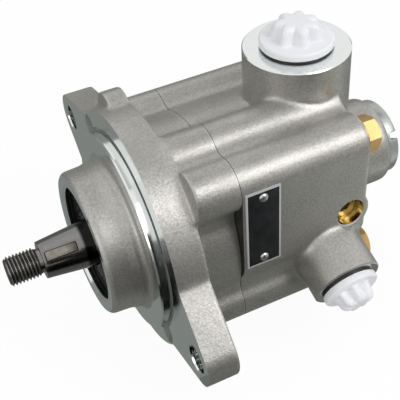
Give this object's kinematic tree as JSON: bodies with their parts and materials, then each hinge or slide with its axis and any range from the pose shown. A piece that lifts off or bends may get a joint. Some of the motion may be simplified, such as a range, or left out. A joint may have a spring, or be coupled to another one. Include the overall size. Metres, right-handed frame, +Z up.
{
  "type": "power steering pump",
  "caption": "Engine-driven vane pump with a cast aluminium casing, an eared mounting flange, a tapered keyed shaft and plugged hydraulic ports; turning the shaft pumps oil for power steering.",
  "frame": {"origin": "on the shaft axis in the plane of the flange's mounting face, midway between the two mounting holes", "axes": "+X along the shaft away from the drive end, +Z up along the inlet axis, -Y out of the flat side face with the nameplate"},
  "size_m": [0.1712, 0.1422, 0.1214],
  "materials": {
    "cast_aluminium": "sand-cast, satin, machined on the spigot and port faces",
    "dark_steel": "blackened, turned",
    "bright_steel": "ground",
    "zinc_steel": "zinc plated",
    "black_rubber": "moulded",
    "yellow_zinc": "yellow passivated zinc plating on steel",
    "brass": "turned",
    "bronze": "sintered and pressed",
    "white_plastic": "moulded",
    "black_plate": "black face with a bare border"
  },
  "bodies": {
    "casing": {"front_housing": "cast_aluminium", "rear_housing": "cast_aluminium", "bearing_outer_race": "bright_steel", "bearing_front_shield": "black_rubber", "bearing_rear_shield": "black_rubber", "bearing_circlip": "dark_steel", "shaft_seal": "black_rubber", "front_plate": "bright_steel", "cam_ring": "bright_steel", "pressure_plate": "bright_steel", "pressure_spring": "dark_steel", "dowel_pins": "bright_steel", "rear_bush": "bronze", "housing_o_ring": "black_rubber", "plate_o_ring": "black_rubber", "casing_bolts": "yellow_zinc", "bolt_washers": "yellow_zinc", "spool_spring": "dark_steel", "valve_plug": "zinc_steel", "valve_plug_seal": "black_rubber", "gallery_plug": "brass", "inlet_plug": "white_plastic", "inlet_plug_seal": "black_rubber", "outlet_plug": "white_plastic", "outlet_plug_seal": "black_rubber", "nameplate": "black_plate", "nameplate_rivets": "bright_steel"},
    "shaft": {"drive_shaft": "dark_steel", "shaft_key": "bright_steel", "bearing_inner_race": "bright_steel", "rotor": "bright_steel"},
    "cage": {"bearing_cage": "bronze", "bearing_balls": "bright_steel"},
    "spool": {"flow_spool": "bright_steel"},
    "vane_1": {"vane_1": "bright_steel"},
    "vane_2": {"vane_2": "bright_steel"},
    "vane_3": {"vane_3": "bright_steel"},
    "vane_4": {"vane_4": "bright_steel"},
    "vane_5": {"vane_5": "bright_steel"},
    "vane_6": {"vane_6": "bright_steel"},
    "vane_7": {"vane_7": "bright_steel"},
    "vane_8": {"vane_8": "bright_steel"},
    "vane_9": {"vane_9": "bright_steel"},
    "vane_10": {"vane_10": "bright_steel"}
  },
  "joints": [
    {"name": "shaft_spin", "type": "hinge", "parent": "casing", "child": "shaft", "pos_m": [0, 0, 0], "axis": [1, 0, 0], "continuous": true},
    {"name": "cage_spin", "type": "hinge", "parent": "casing", "child": "cage", "pos_m": [0, 0, 0], "axis": [1, 0, 0], "continuous": true},
    {"name": "spool_slide", "type": "slide", "parent": "casing", "child": "spool", "axis": [1, 0, 0], "range_m": [0, 0.006], "stiffness_N_per_m": 3000, "deforming": ["spool_spring"]},
    {"name": "vane_1_slide", "type": "slide", "parent": "shaft", "child": "vane_1", "axis": [0, 0.9511, 0.309], "range_m": [-0.002, 0]},
    {"name": "vane_2_slide", "type": "slide", "parent": "shaft", "child": "vane_2", "axis": [0, 0.5878, 0.809], "range_m": [-0.002, 0]},
    {"name": "vane_3_slide", "type": "slide", "parent": "shaft", "child": "vane_3", "axis": [0, 0, 1], "range_m": [-0.002, 0]},
    {"name": "vane_4_slide", "type": "slide", "parent": "shaft", "child": "vane_4", "axis": [0, -0.5878, 0.809], "range_m": [-0.002, 0]},
    {"name": "vane_5_slide", "type": "slide", "parent": "shaft", "child": "vane_5", "axis": [0, -0.9511, 0.309], "range_m": [-0.002, 0]},
    {"name": "vane_6_slide", "type": "slide", "parent": "shaft", "child": "vane_6", "axis": [0, -0.9511, -0.309], "range_m": [-0.002, 0]},
    {"name": "vane_7_slide", "type": "slide", "parent": "shaft", "child": "vane_7", "axis": [0, -0.5878, -0.809], "range_m": [-0.002, 0]},
    {"name": "vane_8_slide", "type": "slide", "parent": "shaft", "child": "vane_8", "axis": [0, 0, -1], "range_m": [-0.002, 0]},
    {"name": "vane_9_slide", "type": "slide", "parent": "shaft", "child": "vane_9", "axis": [0, 0.5878, -0.809], "range_m": [-0.002, 0]},
    {"name": "vane_10_slide", "type": "slide", "parent": "shaft", "child": "vane_10", "axis": [0, 0.9511, -0.309], "range_m": [-0.002, 0]}
  ],
  "couplings": [
    {"joint": "cage_spin", "follows": "shaft_spin", "ratio": 0.3821},
    {"joint": "vane_6_slide", "follows": "vane_1_slide", "ratio": 1},
    {"joint": "vane_7_slide", "follows": "vane_2_slide", "ratio": 1},
    {"joint": "vane_8_slide", "follows": "vane_3_slide", "ratio": 1},
    {"joint": "vane_9_slide", "follows": "vane_4_slide", "ratio": 1},
    {"joint": "vane_10_slide", "follows": "vane_5_slide", "ratio": 1}
  ]
}
